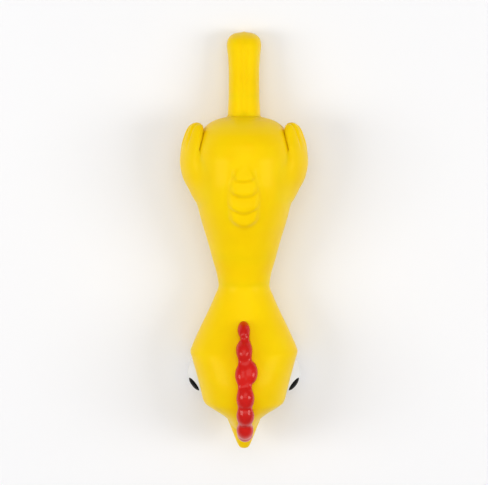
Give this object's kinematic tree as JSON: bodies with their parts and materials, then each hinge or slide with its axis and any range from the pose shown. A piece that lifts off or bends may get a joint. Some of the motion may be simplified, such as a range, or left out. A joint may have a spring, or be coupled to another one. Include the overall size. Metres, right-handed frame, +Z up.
{
  "type": "rubber chicken",
  "caption": "Small stretchy rubber chicken toy lying on its belly, with a finger pocket in its hollow head, a lobed comb, bulging eyes, wings and straight legs.",
  "frame": {"origin": "middle of the footprint, on the surface that the chicken lies on", "axes": "+Z up through its back, +Y from beak to feet, +X to its left side"},
  "size_m": [0.0366, 0.12, 0.0306],
  "materials": {
    "body_rubber": "satin yellow moulded rubber",
    "comb_rubber": "glossy red painted rubber",
    "eye_white": "satin white paint on rubber",
    "pupil_black": "glossy black paint on rubber"
  },
  "bodies": {
    "torso": {"torso": "body_rubber", "back_feathers": "body_rubber", "neck_base": "body_rubber", "hip": "body_rubber", "wing_root_left": "body_rubber", "wing_root_right": "body_rubber"},
    "neck_lower": {"neck_lower": "body_rubber", "neck_middle": "body_rubber"},
    "neck_upper": {"neck_upper": "body_rubber", "nape": "body_rubber"},
    "head": {"head": "body_rubber", "beak": "body_rubber", "comb": "comb_rubber", "eye_left": "eye_white", "eye_right": "eye_white", "pupil_left": "pupil_black", "pupil_right": "pupil_black"},
    "wing_left": {"wing_left": "body_rubber"},
    "wing_right": {"wing_right": "body_rubber"},
    "legs": {"leg_left": "body_rubber", "leg_right": "body_rubber", "shank_left": "body_rubber", "shank_right": "body_rubber"},
    "feet": {"foot_left": "body_rubber", "foot_right": "body_rubber"}
  },
  "joints": [
    {"name": "neck_sway", "type": "hinge", "parent": "torso", "child": "neck_lower", "pos_m": [0, 0.001, 0.0115], "axis": [0, 0, 1], "range_deg": [-35, 35], "stiffness_Nm_per_rad": 0.06, "deforming": ["neck_base"]},
    {"name": "neck_stretch", "type": "slide", "parent": "neck_lower", "child": "neck_upper", "axis": [0, -1, 0], "range_m": [0, 0.04], "stiffness_N_per_m": 100, "deforming": ["neck_middle"]},
    {"name": "head_nod", "type": "hinge", "parent": "neck_upper", "child": "head", "pos_m": [0, -0.01575, 0.0105], "axis": [-1, 0, 0], "range_deg": [0, 38], "stiffness_Nm_per_rad": 0.06, "deforming": ["nape"]},
    {"name": "legs_sway", "type": "hinge", "parent": "torso", "child": "legs", "pos_m": [0, 0.037, 0.008], "axis": [0, 0, 1], "range_deg": [-35, 35], "stiffness_Nm_per_rad": 0.02, "deforming": ["hip"]},
    {"name": "legs_stretch", "type": "slide", "parent": "legs", "child": "feet", "axis": [0, 1, 0], "range_m": [0, 0.025], "stiffness_N_per_m": 80, "deforming": ["shank_left", "shank_right"]},
    {"name": "wing_left_flap", "type": "hinge", "parent": "torso", "child": "wing_left", "pos_m": [0.014, 0.0186, 0.015], "axis": [0.4226, 0, -0.9063], "range_deg": [0, 35], "stiffness_Nm_per_rad": 0.006, "deforming": ["wing_root_left"]},
    {"name": "wing_right_flap", "type": "hinge", "parent": "torso", "child": "wing_right", "pos_m": [-0.014, 0.0186, 0.015], "axis": [0.4226, 0, 0.9063], "range_deg": [0, 35], "stiffness_Nm_per_rad": 0.006, "deforming": ["wing_root_right"]}
  ]
}
